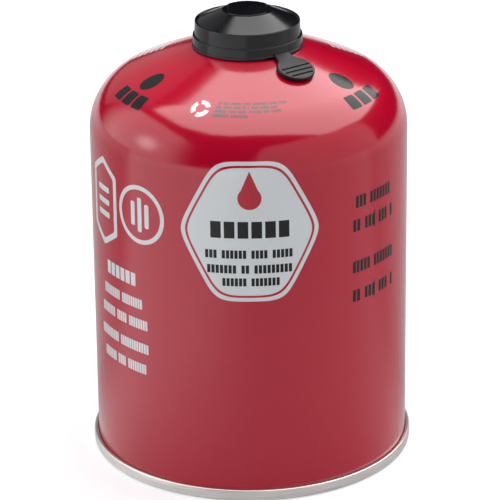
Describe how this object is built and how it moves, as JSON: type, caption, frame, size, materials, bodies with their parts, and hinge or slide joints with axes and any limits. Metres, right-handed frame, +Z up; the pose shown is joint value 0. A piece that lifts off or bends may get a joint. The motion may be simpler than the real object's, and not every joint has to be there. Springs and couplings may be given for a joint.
{
  "type": "fuel canister",
  "caption": "Drawn steel gas canister with a seamed concave end, threaded self-sealing valve and a press-on plastic cap with an opener tab.",
  "frame": {"origin": "middle of the circle that the canister stands on, at the seam's lowest face", "axes": "+Z up the canister's axis towards the cap; the opener tab lies to the front right, between +X and -Y"},
  "size_m": [0.11, 0.11, 0.1548],
  "materials": {
    "red_lacquer": "glossy red lacquer on drawn steel, with white, grey and black print fields",
    "tinplate": "bright rolled tinplate",
    "seal_rubber": "matte black rubber",
    "valve_plastic": "natural moulded acetal",
    "spring_steel": "drawn stainless wire",
    "cap_plastic": "black moulded polypropylene with a soft sheen"
  },
  "bodies": {
    "canister": {"can_shell": "red_lacquer", "base_end": "tinplate", "cup_gasket": "seal_rubber", "valve_cup": "tinplate", "stem_gasket": "seal_rubber", "valve_spring": "spring_steel", "valve_housing": "valve_plastic"},
    "stem": {"valve_stem": "valve_plastic"},
    "cap": {"cap": "cap_plastic"}
  },
  "joints": [
    {"name": "cap_lift", "type": "slide", "parent": "canister", "child": "cap", "axis": [0, 0, 1], "range_m": [0, 0.035]},
    {"name": "valve_press", "type": "slide", "parent": "canister", "child": "stem", "axis": [0, 0, -1], "range_m": [0, 0.0016], "stiffness_N_per_m": 600, "deforming": ["valve_spring"]}
  ]
}
